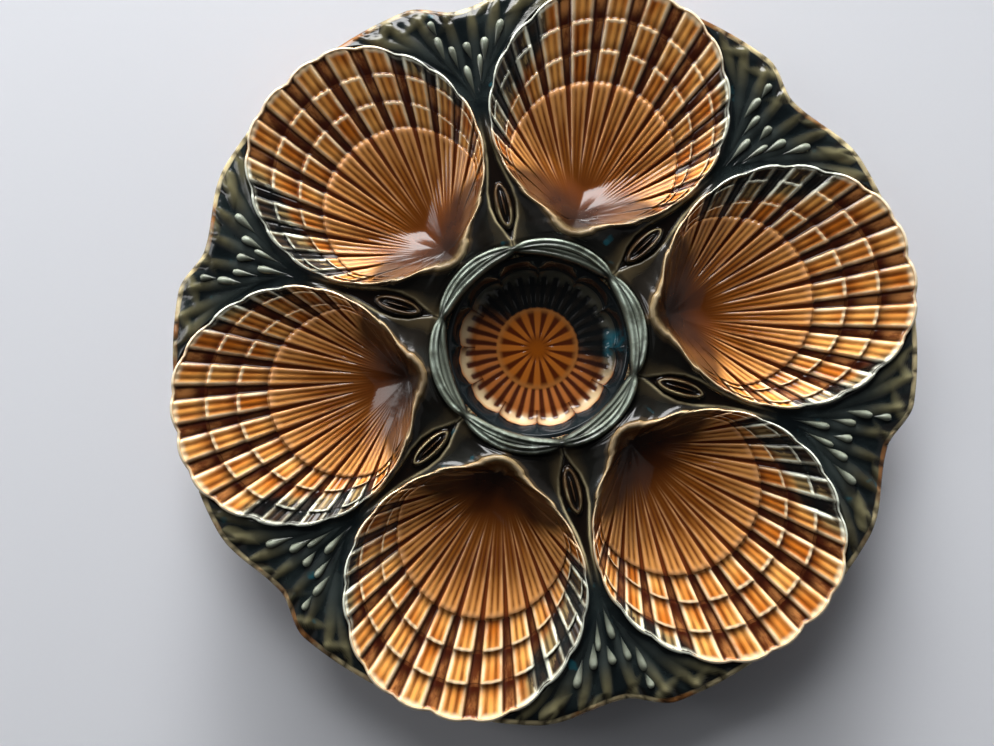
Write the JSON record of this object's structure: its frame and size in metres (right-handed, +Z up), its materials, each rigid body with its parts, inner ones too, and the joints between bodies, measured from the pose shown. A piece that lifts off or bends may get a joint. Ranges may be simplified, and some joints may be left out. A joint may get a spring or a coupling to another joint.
{
  "type": "oyster plate",
  "caption": "Round oyster plate with scallop-shaped wells round a central dipping well, a twisted kelp ring, a wavy rim and a foot ring.",
  "frame": {"origin": "centre of the plate, on the plane that its foot ring stands on", "axes": "+Z up, out of the wells; the first shell lies 14 degrees from +X towards +Y, and the others follow every 60 degrees"},
  "size_m": [0.2444, 0.243, 0.0219],
  "materials": {
    "ground_glaze": "glossy green-black glaze with olive leaves",
    "shell_glaze": "glossy amber glaze, dark brown in the grooves and cream on the edges",
    "well_glaze": "glossy amber and brown glaze with a green-black wall",
    "kelp_glaze": "glossy pale grey-green glaze, dark in the creases",
    "sprig_glaze": "glossy grey-green glaze on raised drops",
    "foot_clay": "caramel glaze, wiped bare on the ring it stands on"
  },
  "bodies": {
    "root": {"dish_body": "ground_glaze", "foot_ring": "foot_clay", "centre_well": "well_glaze", "kelp_ring": "kelp_glaze", "shell_well_1": "shell_glaze", "shell_well_2": "shell_glaze", "shell_well_3": "shell_glaze", "shell_well_4": "shell_glaze", "shell_well_5": "shell_glaze", "shell_well_6": "shell_glaze", "pod_1": "sprig_glaze", "pod_2": "sprig_glaze", "pod_3": "sprig_glaze", "pod_4": "sprig_glaze", "pod_5": "sprig_glaze", "pod_6": "sprig_glaze", "kelp_sprig_1": "sprig_glaze", "kelp_sprig_2": "sprig_glaze", "kelp_sprig_3": "sprig_glaze", "kelp_sprig_4": "sprig_glaze", "kelp_sprig_5": "sprig_glaze", "kelp_sprig_6": "sprig_glaze"}
  },
  "joints": []
}
